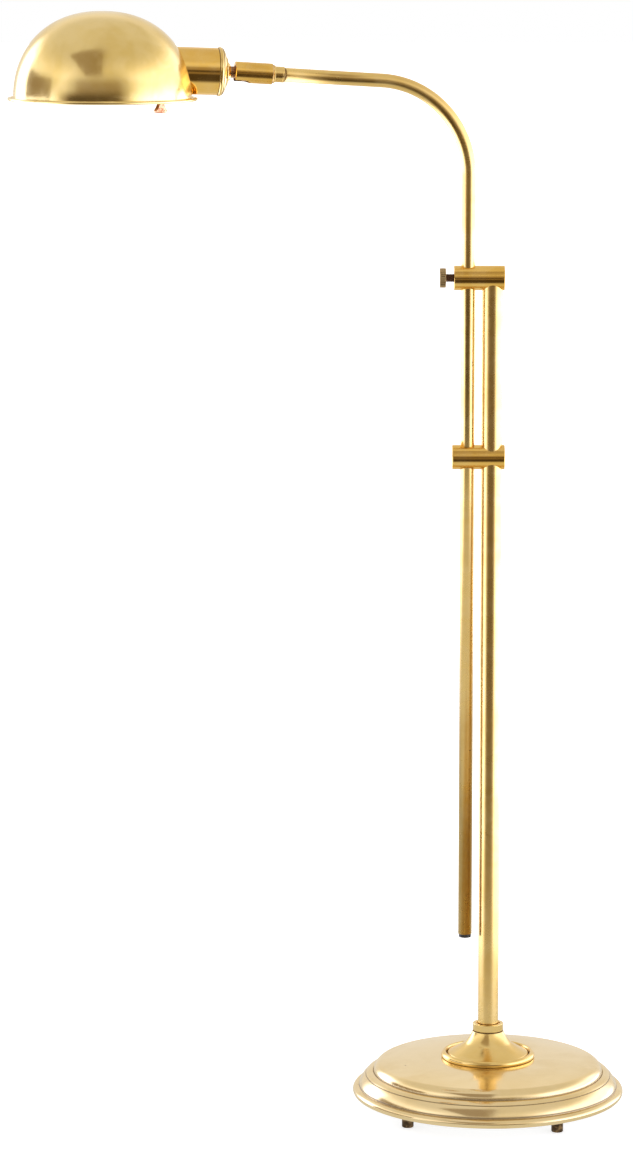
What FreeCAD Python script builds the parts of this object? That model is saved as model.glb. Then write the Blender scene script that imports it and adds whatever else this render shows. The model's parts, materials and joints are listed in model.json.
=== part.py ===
"""Pharmacy floor lamp in brass, modelled as the separate pieces it is assembled from.

Units are millimetres.  The origin is on the floor, on the axis of the fixed pole.  +Z is up, the
sliding pole stands beside the fixed one towards -X, and the arm carries the shade out over -X.
"""
import FreeCAD, Part
import math
import os

Vector = FreeCAD.Vector
ORIGIN = Vector(0, 0, 0)
AXIS_X = Vector(1, 0, 0)
AXIS_Y = Vector(0, 1, 0)
AXIS_Z = Vector(0, 0, 1)
overrun = 1.0                # how far a cutter runs past the face it cuts
arc_share = 1 - math.sqrt(0.5)   # inset of a quarter round's middle, as a share of its radius

# ---- base ------------------------------------------------------------------------------------
base_radius = 127.0          # widest point of the rolled lip
lip_bottom_z = 16.4          # the feet lift the lip this far off the floor
lip_top_radius = 121.5
lip_top_z = 23.4
step_radius = 115.2          # crease between the broad band and the narrow step
step_z = 34.2
dome_radius = 108.2          # groove round the foot of the dome
dome_foot_z = 37.7
dome_shoulder_radius = 99.0
dome_shoulder_z = 46.6
dome_top_z = 51
shell_thickness = 1.5
groove_depth = 0.6
lip_middle_rise = 3.2        # height on the lip of its widest point
lip_foot_radius = 125.4
band_middle = (119.3, 29.0)  # points that the outer arcs pass through
step_middle = (112.2, 36.4)
dome_edge_middle = (105.4, 44.0)
dome_middle = (72.0, 49.9)

foot_radius = 5.5
foot_circle_radius = 98.0
foot_first_angle = 38.7      # from -X towards -Y, the front left foot
foot_edge_round = 1.0
stud_radius = 2.5
stud_depth_in_foot = 10.0
stud_top_z = 30.4

weight_radius = 109.5
weight_bottom_z = 19.4
weight_step_z = 31.9
weight_upper_radius = 95.0
weight_top_z = 42.4
weight_boss_radius = 30.0
weight_recess_radius = 20.0
weight_recess_top_z = 30.4
plate_radius = 120.5
plate_bottom_z = 18
plate_thickness = 1.2

# ---- bell, collar and fixed pole ---------------------------------------------------------------
bell_bead_radius = 43.8      # widest point of the ring round the bell's foot
bell_bead_foot = 43.0
bell_bead_middle_z = 53.6
bell_bead_shoulder = (42.2, 56.1)
bell_bead_crown = (40.9, 56.7)
bell_bead_lip = (39.6, 56.1)
bell_channel = (38.5, 53.0)  # bottom of the channel between the ring and the flare
bell_flare_foot = (37.2, 55.6)
bell_flare_middle = (28.3, 60.2)
bell_flare_neck = (21.6, 64.6)
bell_neck_middle = (17.2, 70.4)
bell_top_radius = 14.4
bell_top_z = 76.2
collar_radius = 14.25
collar_seat_radius = 12.6    # short step that leaves a narrow gap over the bell
collar_bottom_z = 77.0
collar_top_z = 83.7
collar_recess_radius = 11.2
collar_recess_depth = 2.2
collar_chamfer = 0.5

pole_radius = 9.525          # three-quarter inch tube
pole_wall = 1.3
pole_bottom_z = 77.4
pole_top_z = 788.9
plug_length = 24.0
nipple_radius = 5.0
nipple_bore_radius = 3.2
nut_height = 6.0
nut_across_flats = 17.0
washer_radius = 14.0
washer_thickness = 1.6

# ---- pole blocks -------------------------------------------------------------------------------
pole_spacing = 22.2          # between the two pole axes
slide_radius = 6.35          # half-inch tube
slide_fit = 0.05             # running clearance of the sliding pole in the blocks
block_radius = 11.35
block_edge_round = 0.7
upper_block_z = 783.4
upper_block_left = -35.4
upper_block_right = 11.1
lower_block_z = 618.4
lower_block_left = -36.3
lower_block_right = 12.0
set_screw_radius = 2.0
hex_socket_across_flats = 2.0
hex_socket_depth = 1.6
set_screw_sink = 0.1         # how far a set screw lies below the block's surface

clamp_shank_radius = 3.8
clamp_thread_fit = 0.05
clamp_shank_length = 7.4     # bare shank between the block and the head
clamp_head_length = 5.6
clamp_head_radius = 8.95
clamp_head_chamfer = 0.8
clamp_knurl_count = 30
clamp_knurl_depth = 0.55
clamp_pad_radius = 3.2
clamp_pad_length = 2.0
clamp_pad_gap = 0.08

# ---- sliding pole and arm ------------------------------------------------------------------------
slide_wall = 1.0
slide_bottom_z = 169.4
bend_start_z = 877.4
bend_radius = 86.0
arm_rise = 3.5               # degrees that the arm climbs towards the shade
arm_yaw = 9.5                # degrees that the arm is swung towards -Y at rest
bush_radius = 5.75
bush_bore_radius = 3.5
bush_shown = 3.4
bush_depth = 9.0
bush_chamfer = 0.8
bush_fit = 0.05

# ---- swivel, with distances measured along the arm from the sliding pole's axis ---------------------
arm_collar_start = 170.6
arm_collar_end = 179.3
arm_collar_radius = 7.15
arm_collar_chamfer = 0.4
swivel_washer_radius = 8.2
swivel_gap = 0.12            # end play of the barrel on its nipple
barrel_start = 180.7
barrel_end = 215.6
barrel_radius = 9.5
barrel_bore_radius = 8.0
barrel_chamfer = 1.2
barrel_mouth_radius = 6.3
barrel_mouth_chamfer = 0.5
barrel_back_wall = 7.0
slot_half_width = 5.5
slot_length = 14.5
slot_roll = 6.0              # degrees that the barrel is rolled towards -Y at rest
ball_radius = 7.8
ball_fit = 0.06
neck_radius = 5.2
seat_back = -11.5            # ends of the cupped seat, from the ball's centre
seat_lip_radius = 5.15       # the cup stays clear of the neck when the head hangs down
seat_bore_radius = 3.0
spring_bore_radius = 4.2
spring_radius = 7.6
spring_dish = 1.6
spring_thickness = 0.8
spring_starts = (-14.1, -16.8)
arm_nipple_radius = 4.6
arm_nipple_bore_radius = 3.0
arm_nipple_depth = 16.0
arm_nipple_head_radius = 6.6
arm_nipple_head_length = 1.6

# ---- head, with distances measured along the neck from the ball's centre ------------------------------
head_rise = 2.0              # degrees that the neck climbs towards the shade
head_roll = -1.1             # degrees that the head is rolled about the neck at rest
stem_radius = 4.8
stem_bore_radius = 2.8
stem_end = 50.0
neck_end = 13.4
washer_small_radius = 7.2
neck_washer_radius = 12.9
neck_washer_end = 17.6
washer_step = 2.0            # length of the washer's first cone
washer_step_rise = 1.6
washer_rim_width = 1.4
cap_end = 24.6
cap_face_radius = 13.6
cap_bead_radius = 22.2
cap_wall = 1.0
cap_shoulder = (1.0, 18.2)   # from the cap's face, and radius
cap_edge = (3.2, 21.4)
cap_bead_middle = 5.2
cap_bead_round = 0.7
cup_radius = 21.25
cup_wall = 1.0
cup_start = 24.9
cup_end = 67.6
lock_nut_start = 19.3
lock_nut_height = 4.5
lock_nut_across_flats = 14.0

shade_centre = 335.2         # level distance from the sliding pole's axis
shade_wall_radius = 80.3
shade_height = 79.4
shade_power = 2.2            # exponent of the shade's superellipse section
shade_thickness = 1.0
shade_rim_z = 946.6
brim_radius = 85.3
brim_bead_radius = 1.4
brim_half_thickness = 0.45
brim_fillet = 1.2
shade_hole_gap = 0.45
shade_hole_reach = 4.0       # how far past the cup's end the hole's cutter goes
shade_ring_start = 65.0
shade_ring_radius = 23.6

socket_cap_start = 44.0
socket_cap_end = 54.0
socket_shell_start = 53.0
socket_shell_end = 114.0
socket_shell_radius = 16.6
socket_cap_radius = 17.3
socket_cap_boss_radius = 7.0
socket_cap_boss_length = 3.0
socket_cap_dome = (2.2, 14.2)    # middle of its shoulder, from the cap's start, and radius
socket_cap_shoulder_end = 7.0
sheet_metal = 0.6
liner_radius = 15.9
liner_thickness = 0.9
socket_body_start = 56.5
socket_body_end = 84.0
socket_body_radius = 14.8
screw_shell_radius = 14.2
screw_shell_thickness = 0.7
screw_shell_end = 111.5
liner_setback = 1.5
contact_width = 5.0
contact_sheet = 0.6
contact_reach = 1.4
contact_foot = -5.0
contact_knee = 1.0
contact_nose = 3.0

bulb_base_start = 87.0
bulb_base_end = 111.0
bulb_base_radius = 13.2
thread_pitch = 3.6
thread_depth = 1.0
bulb_base_wall = 0.6
bulb_insulator_radius = 4.5
bulb_tip_radius = 2.6
bulb_tip_rise = 1.4
bulb_glass_radius = 24.0
bulb_widest = 151.0
bulb_glass_wall = 0.8
bulb_glass_setback = 4.0     # how far the glass goes into its screw base
bulb_neck_length = 6.0
bulb_flare = (18.0, 14.8)    # middle of the flare, from the glass's start, and radius
bulb_shoulder = 9.0          # from the widest point back to the end of the flare

switch_distance = 75.1
shaft_radius = 1.7
shaft_top = -9.0
shaft_slot_gap = 0.4
key_top = -21.5
key_bottom = -38.8
key_half_width = 7.0
key_waist = 2.6
key_thickness = 3.4
key_hub_radius = 3.1
key_hub_height = 6.0
key_socket_depth = 4.0
key_waist_drop = 9.0
key_lobe_height = 2.2
key_turn = 30.0              # degrees that the key is turned at rest

# ---- worked out from the driving dimensions ---------------------------------------------------------
ball_distance = barrel_end - slot_length + slot_half_width
arm_line_z = bend_start_z + bend_radius * (1 / math.cos(math.radians(arm_rise))
                                           - math.tan(math.radians(arm_rise)))
ball_z = arm_line_z + ball_distance * math.tan(math.radians(arm_rise))
clamp_head_start = upper_block_left - clamp_shank_length
clamp_pad_start = -pole_spacing - slide_radius - clamp_pad_gap


# ---- shape helpers --------------------------------------------------------------------------------
def outline_face(start, steps):
    """Face in the XZ plane; each step is (end,) for a line or (mid, end) for an arc."""
    edges = []
    here = Vector(start[0], 0, start[1])
    for step in steps:
        end = Vector(step[-1][0], 0, step[-1][1])
        if len(step) == 1:
            edges.append(Part.LineSegment(here, end).toShape())
        else:
            middle = Vector(step[0][0], 0, step[0][1])
            edges.append(Part.Arc(here, middle, end).toShape())
        here = end
    first = Vector(start[0], 0, start[1])
    if here.distanceToPoint(first) > 1e-6:
        edges.append(Part.LineSegment(here, first).toShape())
    return Part.Face(Part.Wire(edges))


def lathe_z(start, steps):
    """Turned piece on the Z axis from an outline of (radius, z) points."""
    return outline_face(start, steps).revolve(ORIGIN, AXIS_Z, 360)


def lathe_x(start, steps):
    """Turned piece on the X axis from an outline of (x, radius) points."""
    return outline_face(start, steps).revolve(ORIGIN, AXIS_X, 360)


def rod_z(radius, bottom, top):
    return Part.makeCylinder(radius, top - bottom, Vector(0, 0, bottom), AXIS_Z)


def tube_z(radius, bore, bottom, top):
    return rod_z(radius, bottom, top).cut(rod_z(bore, bottom - overrun, top + overrun))


def rod_x(radius, start, end):
    return Part.makeCylinder(radius, end - start, Vector(start, 0, 0), AXIS_X)


def tube_x(radius, bore, start, end):
    return rod_x(radius, start, end).cut(rod_x(bore, start - overrun, end + overrun))


def hexagon_z(across_flats, bottom, top):
    corner = across_flats / 2 / math.cos(math.radians(30))
    turns = [math.radians(60 * k) for k in range(7)]
    points = [Vector(corner * math.cos(turn), corner * math.sin(turn), bottom) for turn in turns]
    return Part.Face(Part.makePolygon(points)).extrude(Vector(0, 0, top - bottom))


def turned_to_x(shape):
    """Swing a piece made along +Z so that it points along +X."""
    moved = shape.copy()
    moved.rotate(ORIGIN, AXIS_Y, 90)
    return moved


def move(shape, x=0.0, y=0.0, z=0.0):
    moved = shape.copy()
    moved.translate(Vector(x, y, z))
    return moved


def in_arm_plane(shape):
    """From the arm's own upright plane, +X outwards from the sliding pole, to the lamp's frame."""
    moved = shape.copy()
    moved.rotate(ORIGIN, AXIS_Z, 180 + arm_yaw)
    moved.translate(Vector(-pole_spacing, 0, 0))
    return moved


def on_arm_axis(shape, roll=0.0):
    """From a frame with the ball's centre as origin and +X along the rising arm."""
    moved = shape.copy()
    moved.rotate(ORIGIN, AXIS_X, roll)
    moved.rotate(ORIGIN, AXIS_Y, -arm_rise)
    moved.translate(Vector(ball_distance, 0, ball_z))
    return in_arm_plane(moved)


def on_neck_axis(shape):
    """From a frame with the ball's centre as origin and +X along the neck."""
    moved = shape.copy()
    moved.rotate(ORIGIN, AXIS_X, head_roll)
    moved.rotate(ORIGIN, AXIS_Y, -head_rise)
    moved.translate(Vector(ball_distance, 0, ball_z))
    return in_arm_plane(moved)


def along_arm(distance):
    """Place on the arm's own axis, from the ball's centre, of a level distance from the pole."""
    return (distance - ball_distance) / math.cos(math.radians(arm_rise))


# ---- base -----------------------------------------------------------------------------------------
def base_shell():
    """Spun brass cover: rolled lip, broad band, narrow step and low dome."""
    t = shell_thickness
    slope = t * math.sqrt(0.5)   # inset both ways where the sheet slopes at 45 degrees
    neck = groove_depth + t
    outer_steps = [
        ((base_radius, lip_bottom_z + lip_middle_rise), (lip_top_radius, lip_top_z)),
        ((lip_top_radius - groove_depth, lip_top_z + groove_depth / 2),),
        ((lip_top_radius, lip_top_z + groove_depth),),
        (band_middle, (step_radius, step_z)),
        ((step_radius - groove_depth, step_z + groove_depth / 2),),
        (step_middle, (dome_radius, dome_foot_z)),
        ((dome_radius - groove_depth, dome_foot_z - groove_depth / 2),),
        ((dome_radius - groove_depth, dome_foot_z + groove_depth),),
        (dome_edge_middle, (dome_shoulder_radius, dome_shoulder_z)),
        (dome_middle, (bell_bead_radius, dome_top_z)),
        ((nipple_radius, dome_top_z),),
    ]
    inner_steps = [
        ((nipple_radius, dome_top_z - t),),
        ((bell_bead_radius, dome_top_z - t),),
        ((dome_middle[0], dome_middle[1] - t), (dome_shoulder_radius, dome_shoulder_z - t)),
        ((dome_edge_middle[0] - slope, dome_edge_middle[1] - slope), (dome_radius - neck, dome_foot_z - t)),
        ((step_radius - neck, step_z - t),),
        ((band_middle[0] - t, band_middle[1] - slope), (lip_top_radius - neck, lip_top_z)),
        ((base_radius - t, lip_bottom_z + lip_middle_rise), (lip_foot_radius - t, lip_bottom_z)),
    ]
    return lathe_z((lip_foot_radius, lip_bottom_z), outer_steps + inner_steps)


def base_weight():
    """Cast iron disc that steadies the lamp, with a recess for the nut and tapped holes for the feet."""
    body = lathe_z((nipple_radius, weight_recess_top_z), [
        ((weight_recess_radius, weight_recess_top_z),),
        ((weight_recess_radius, weight_bottom_z),),
        ((weight_radius, weight_bottom_z),),
        ((weight_radius, weight_step_z),),
        ((weight_upper_radius, weight_top_z),),
        ((weight_boss_radius, weight_top_z),),
        ((weight_boss_radius, dome_top_z - shell_thickness),),
        ((nipple_radius, dome_top_z - shell_thickness),),
    ])
    for x, y in foot_places():
        body = body.cut(move(rod_z(stud_radius, weight_bottom_z - overrun, stud_top_z), x, y))
    return body


def base_plate():
    """Sheet steel cover under the weight."""
    top = plate_bottom_z + plate_thickness
    plate = tube_z(plate_radius, weight_recess_radius, plate_bottom_z, top)
    for x, y in foot_places():
        plate = plate.cut(move(rod_z(stud_radius, plate_bottom_z - overrun, top + overrun), x, y))
    return plate


def foot_places():
    places = []
    for quarter in range(4):
        angle = math.radians(180 + foot_first_angle + 90 * quarter)
        places.append((foot_circle_radius * math.cos(angle), foot_circle_radius * math.sin(angle)))
    return places


def foot():
    """Turned stub foot, tapped from above for its stud."""
    inset = foot_edge_round * arc_share
    body = lathe_z((0, 0), [
        ((foot_radius - foot_edge_round, 0),),
        ((foot_radius - inset, inset), (foot_radius, foot_edge_round)),
        ((foot_radius, plate_bottom_z),),
        ((0, plate_bottom_z),),
    ])
    return body.cut(rod_z(stud_radius, plate_bottom_z - stud_depth_in_foot, plate_bottom_z + overrun))


def foot_studs():
    stud = rod_z(stud_radius, plate_bottom_z - stud_depth_in_foot, stud_top_z)
    return Part.makeCompound([move(stud, x, y) for x, y in foot_places()])


def base_washer():
    bottom = weight_recess_top_z - washer_thickness
    return tube_z(washer_radius, nipple_radius, bottom, weight_recess_top_z)


def base_nut():
    top = weight_recess_top_z - washer_thickness
    nut = hexagon_z(nut_across_flats, top - nut_height, top)
    return nut.cut(rod_z(nipple_radius, top - nut_height - overrun, top + overrun))


def base_bell():
    """Trumpet riser with a raised ring round its foot."""
    return lathe_z((nipple_radius, dome_top_z), [
        ((bell_bead_foot, dome_top_z),),
        ((bell_bead_radius, bell_bead_middle_z), bell_bead_shoulder),
        (bell_bead_crown, bell_bead_lip),
        (bell_channel,),
        (bell_flare_foot,),
        (bell_flare_middle, bell_flare_neck),
        (bell_neck_middle, (bell_top_radius, bell_top_z)),
        ((nipple_radius, bell_top_z),),
    ])


def pole_collar():
    """Turned collar that caps the bell and steadies the pole."""
    recess_z = collar_top_z - collar_recess_depth
    c = collar_chamfer
    return lathe_z((nipple_radius, bell_top_z), [
        ((collar_seat_radius, bell_top_z),),
        ((collar_seat_radius, collar_bottom_z),),
        ((collar_radius - c, collar_bottom_z),),
        ((collar_radius, collar_bottom_z + c),),
        ((collar_radius, collar_top_z - c),),
        ((collar_radius - c, collar_top_z),),
        ((collar_recess_radius, collar_top_z),),
        ((collar_recess_radius, recess_z),),
        ((pole_radius, recess_z),),
        ((pole_radius, pole_bottom_z),),
        ((nipple_radius, pole_bottom_z),),
    ])


def fixed_pole():
    return tube_z(pole_radius, pole_radius - pole_wall, pole_bottom_z, pole_top_z)


def pole_plug():
    """Tapped brass plug brazed into the foot of the pole."""
    return tube_z(pole_radius - pole_wall, nipple_radius, pole_bottom_z, pole_bottom_z + plug_length)


def pole_nipple():
    bottom = weight_recess_top_z - washer_thickness - nut_height
    return tube_z(nipple_radius, nipple_bore_radius, bottom, pole_bottom_z + plug_length)


# ---- pole blocks ------------------------------------------------------------------------------------
def block(left, right, height):
    """Round bar lying along X with softened ends, cross-drilled for the sliding pole."""
    r, e = block_radius, block_edge_round
    inset = e * arc_share
    body = lathe_x((left, 0), [
        ((left, r - e),),
        ((left + inset, r - inset), (left + e, r)),
        ((right - e, r),),
        ((right - inset, r - inset), (right, r - e)),
        ((right, 0),),
    ])
    body = move(body, z=height)
    bore = rod_z(slide_radius + slide_fit, height - 2 * r, height + 2 * r)
    return body.cut(move(bore, -pole_spacing))


def rear_screw_hole(height):
    """Tapped hole from the rear of a block to the fixed pole."""
    return Part.makeCylinder(set_screw_radius, 2 * block_radius, Vector(0, pole_radius, height), AXIS_Y)


def upper_block():
    body = block(upper_block_left, upper_block_right, upper_block_z)
    body = body.cut(rod_z(pole_radius, upper_block_z - 2 * block_radius, pole_top_z))
    thread = rod_x(clamp_shank_radius + clamp_thread_fit, upper_block_left - overrun, -pole_spacing)
    return body.cut(move(thread, z=upper_block_z)).cut(rear_screw_hole(upper_block_z))


def lower_block():
    body = block(lower_block_left, lower_block_right, lower_block_z)
    body = body.cut(rod_z(pole_radius, lower_block_z - 2 * block_radius, lower_block_z + 2 * block_radius))
    return body.cut(rear_screw_hole(lower_block_z))


def set_screw(height):
    """Headless screw with a hexagon socket, flush in the rear of a block."""
    length = block_radius - pole_radius - set_screw_sink
    screw = rod_z(set_screw_radius, 0, length)
    screw = screw.cut(hexagon_z(hex_socket_across_flats, length - hex_socket_depth, length + overrun))
    screw.rotate(ORIGIN, AXIS_X, -90)
    return move(screw, y=pole_radius, z=height)


def clamp_screw():
    """Thumbscrew: threaded shank and a straight-knurled head."""
    head_end = clamp_head_start - clamp_head_length
    rim = clamp_head_radius
    c = clamp_head_chamfer
    screw = lathe_x((head_end, 0), [
        ((head_end, rim - c),),
        ((head_end + c, rim),),
        ((clamp_head_start - c, rim),),
        ((clamp_head_start, rim - c),),
        ((clamp_head_start, clamp_shank_radius),),
        ((clamp_pad_start - clamp_pad_length, clamp_shank_radius),),
        ((clamp_pad_start - clamp_pad_length, 0),),
    ])
    groove = Part.makeCylinder(clamp_knurl_depth, clamp_head_length + 2 * overrun,
                               Vector(head_end - overrun, 0, rim), AXIS_X)
    for tooth in range(clamp_knurl_count):
        cutter = groove.copy()
        cutter.rotate(ORIGIN, AXIS_X, 360.0 * tooth / clamp_knurl_count)
        screw = screw.cut(cutter)
    return move(screw, z=upper_block_z)


def clamp_pad():
    """Soft tip that bears on the sliding pole."""
    return move(rod_x(clamp_pad_radius, clamp_pad_start - clamp_pad_length + clamp_pad_gap, clamp_pad_start),
                z=upper_block_z)


# ---- sliding pole and arm -----------------------------------------------------------------------------
def sliding_pole():
    """Upright length of the tube that slides through the blocks."""
    return in_arm_plane(tube_z(slide_radius, slide_radius - slide_wall, slide_bottom_z, bend_start_z))


def arm_tube():
    """Upper length of the same tube, bent over into the arm."""
    body = bent_rod(slide_radius).cut(bent_rod(slide_radius - slide_wall))
    return in_arm_plane(body)


def bent_rod(radius):
    """Solid rod round the bend and along the arm."""
    section = Part.Face(Part.Wire(Part.makeCircle(radius, Vector(0, 0, bend_start_z), AXIS_Z)))
    bend = section.revolve(Vector(bend_radius, 0, bend_start_z), AXIS_Y, 90 - arm_rise)
    arm = rod_x(radius, 0, along_arm(arm_collar_end) - along_arm(bend_end_distance()))
    arm.rotate(ORIGIN, AXIS_Y, -arm_rise)
    return bend.fuse(move(arm, x=bend_end_distance(), z=bend_end_z()))


def bend_end_distance():
    return bend_radius * (1 - math.sin(math.radians(arm_rise)))


def bend_end_z():
    return bend_start_z + bend_radius * math.cos(math.radians(arm_rise))


def pole_end_bush():
    """Black bush in the sliding pole's lower end; its bore is the lead's outlet."""
    bore = slide_radius - slide_wall
    bush = lathe_z((bush_bore_radius, slide_bottom_z - bush_shown), [
        ((bush_radius - bush_chamfer, slide_bottom_z - bush_shown),),
        ((bush_radius, slide_bottom_z - bush_shown + bush_chamfer),),
        ((bush_radius, slide_bottom_z - bush_fit),),
        ((bore - bush_fit, slide_bottom_z - bush_fit),),
        ((bore - bush_fit, slide_bottom_z + bush_depth),),
        ((bush_bore_radius, slide_bottom_z + bush_depth),),
    ])
    return move(bush, -pole_spacing)


def arm_collar():
    start = along_arm(arm_collar_start)
    end = along_arm(arm_collar_end)
    collar = lathe_x((start, slide_radius), [
        ((start, arm_collar_radius - arm_collar_chamfer),),
        ((start + arm_collar_chamfer, arm_collar_radius),),
        ((end, arm_collar_radius),),
        ((end, slide_radius),),
    ])
    return on_arm_axis(collar)


def swivel_washer():
    """Thin bright washer between the arm's collar and the barrel."""
    start = along_arm(arm_collar_end)
    end = along_arm(barrel_start) - swivel_gap
    return on_arm_axis(tube_x(swivel_washer_radius, arm_nipple_radius, start, end))


def arm_nipple():
    """Flanged tube on which the barrel turns, brazed into the arm's end."""
    start = along_arm(arm_collar_end) - arm_nipple_depth
    tip = along_arm(barrel_start) + barrel_back_wall + swivel_gap
    bore = slide_radius - slide_wall
    nipple = lathe_x((start, arm_nipple_bore_radius), [
        ((start, bore),),
        ((along_arm(arm_collar_end), bore),),
        ((along_arm(arm_collar_end), arm_nipple_radius),),
        ((tip, arm_nipple_radius),),
        ((tip, arm_nipple_head_radius),),
        ((tip + arm_nipple_head_length, arm_nipple_head_radius),),
        ((tip + arm_nipple_head_length, arm_nipple_bore_radius),),
    ])
    return on_arm_axis(nipple)


# ---- swivel ---------------------------------------------------------------------------------------------
def swivel_barrel():
    """Slotted barrel: the neck swings down through the slot, and the ball seats behind the mouth."""
    back = along_arm(barrel_start)
    mouth = along_arm(barrel_end)
    seat_radius = ball_radius + ball_fit
    seat_end = math.sqrt(seat_radius ** 2 - barrel_mouth_radius ** 2)
    seat_turn = math.radians(70)     # a point of the seat between its mouth and its widest
    body = lathe_x((back, arm_nipple_radius + ball_fit), [
        ((back, barrel_radius - barrel_chamfer),),
        ((back + barrel_chamfer, barrel_radius),),
        ((mouth - barrel_mouth_chamfer, barrel_radius),),
        ((mouth, barrel_radius - barrel_mouth_chamfer),),
        ((mouth, barrel_mouth_radius + barrel_mouth_chamfer),),
        ((mouth - barrel_mouth_chamfer, barrel_mouth_radius),),
        ((seat_end, barrel_mouth_radius),),
        ((seat_radius * math.cos(seat_turn), seat_radius * math.sin(seat_turn)), (0, seat_radius)),
        ((0, barrel_bore_radius),),
        ((back + barrel_back_wall, barrel_bore_radius),),
        ((back + barrel_back_wall, arm_nipple_radius + ball_fit),),
    ])
    slot = Part.makeBox(mouth + overrun, 2 * slot_half_width, 2 * barrel_radius,
                        Vector(0, -slot_half_width, -2 * barrel_radius))
    slot_end = rod_z(slot_half_width, -2 * barrel_radius, 0)
    return on_arm_axis(body.cut(slot.fuse(slot_end)), slot_roll)


def swivel_ball():
    """Ball and neck in one, bored for the lead, with the threaded stem that carries the head."""
    overlap = math.sqrt(ball_radius ** 2 - neck_radius ** 2)
    steps = [
        ((0, ball_radius), (overlap, neck_radius)),
        ((neck_end, neck_radius),),
        ((neck_end, stem_radius),),
        ((stem_end, stem_radius),),
        ((stem_end, stem_bore_radius),),
    ]
    back = -math.sqrt(ball_radius ** 2 - stem_bore_radius ** 2)
    return on_neck_axis(lathe_x((back, stem_bore_radius), steps))


def ball_seat():
    """Cupped follower behind the ball."""
    face_radius = ball_radius + ball_fit
    rim = barrel_bore_radius - ball_fit
    lip_x = -math.sqrt(face_radius ** 2 - seat_lip_radius ** 2)
    bore_x = -math.sqrt(face_radius ** 2 - seat_bore_radius ** 2)
    turn = math.radians(148)     # a point of the cup between its lip and its bore
    seat = lathe_x((seat_back, seat_bore_radius), [
        ((seat_back, rim),),
        ((lip_x, rim),),
        ((lip_x, seat_lip_radius),),
        ((face_radius * math.cos(turn), face_radius * math.sin(turn)), (bore_x, seat_bore_radius)),
    ])
    return on_arm_axis(seat)


def swivel_spring():
    """Pair of dished spring washers, back to back, that press the seat on the ball."""
    rings = []
    for start, bore_ahead in zip(spring_starts, (0.0, spring_dish)):
        bore_x = start + bore_ahead
        rim_x = start + spring_dish - bore_ahead
        rings.append(lathe_x((bore_x, spring_bore_radius), [
            ((rim_x, spring_radius),),
            ((rim_x + spring_thickness, spring_radius),),
            ((bore_x + spring_thickness, spring_bore_radius),),
        ]))
    return on_arm_axis(Part.makeCompound(rings))


# ---- head -------------------------------------------------------------------------------------------------
def neck_washer():
    """Dished washer between the neck and the cap."""
    bore = stem_radius + slide_fit
    washer = lathe_x((neck_end, bore), [
        ((neck_end, washer_small_radius),),
        ((neck_end + washer_step, washer_small_radius + washer_step_rise),),
        ((neck_washer_end - washer_rim_width, neck_washer_radius),),
        ((neck_washer_end, neck_washer_radius),),
        ((neck_washer_end, bore),),
    ])
    return on_neck_axis(washer)


def cup_cap():
    """Domed cap that closes the cup, with a rolled bead round its edge."""
    face, wall, bore = neck_washer_end, cap_wall, stem_radius + slide_fit
    skirt = cap_bead_radius - cap_bead_round
    inner_edge_x = face + cap_edge[0] + wall / 2
    cap = lathe_x((face, bore), [
        ((face, cap_face_radius),),
        ((face + cap_shoulder[0], cap_shoulder[1]), (face + cap_edge[0], cap_edge[1])),
        ((face + cap_bead_middle, cap_bead_radius), (cap_end, skirt)),
        ((cap_end, skirt - wall),),
        ((inner_edge_x, cap_edge[1] - wall),),
        ((face + cap_shoulder[0] + wall, cap_shoulder[1] - wall), (face + wall, cap_face_radius - wall / 2)),
        ((face + wall, bore),),
    ])
    return on_neck_axis(cap)


def cup():
    """Socket cup: a plain tube from the cap into the shade."""
    return on_neck_axis(tube_x(cup_radius, cup_radius - cup_wall, cup_start, cup_end))


def cup_lock_nut():
    nut = turned_to_x(hexagon_z(lock_nut_across_flats, 0, lock_nut_height))
    nut = nut.cut(rod_x(stem_radius + slide_fit, -overrun, lock_nut_height + overrun))
    return on_neck_axis(move(nut, lock_nut_start))


def superellipse(radius, height, bottom, count=16):
    """Section of the shade from its wall, at the given bottom, up to its crown."""
    power = 2.0 / shade_power
    start = math.asin((bottom / height) ** (1 / power))
    points = []
    for k in range(count + 1):
        turn = start + (math.pi / 2 - start) * k / count
        r = radius * max(math.cos(turn), 0.0) ** power
        z = height * math.sin(turn) ** power
        points.append(Vector(0.0 if k == count else r, 0, z))
    curve = Part.BSplineCurve()
    curve.interpolate(points)
    return curve.toShape(), points


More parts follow.
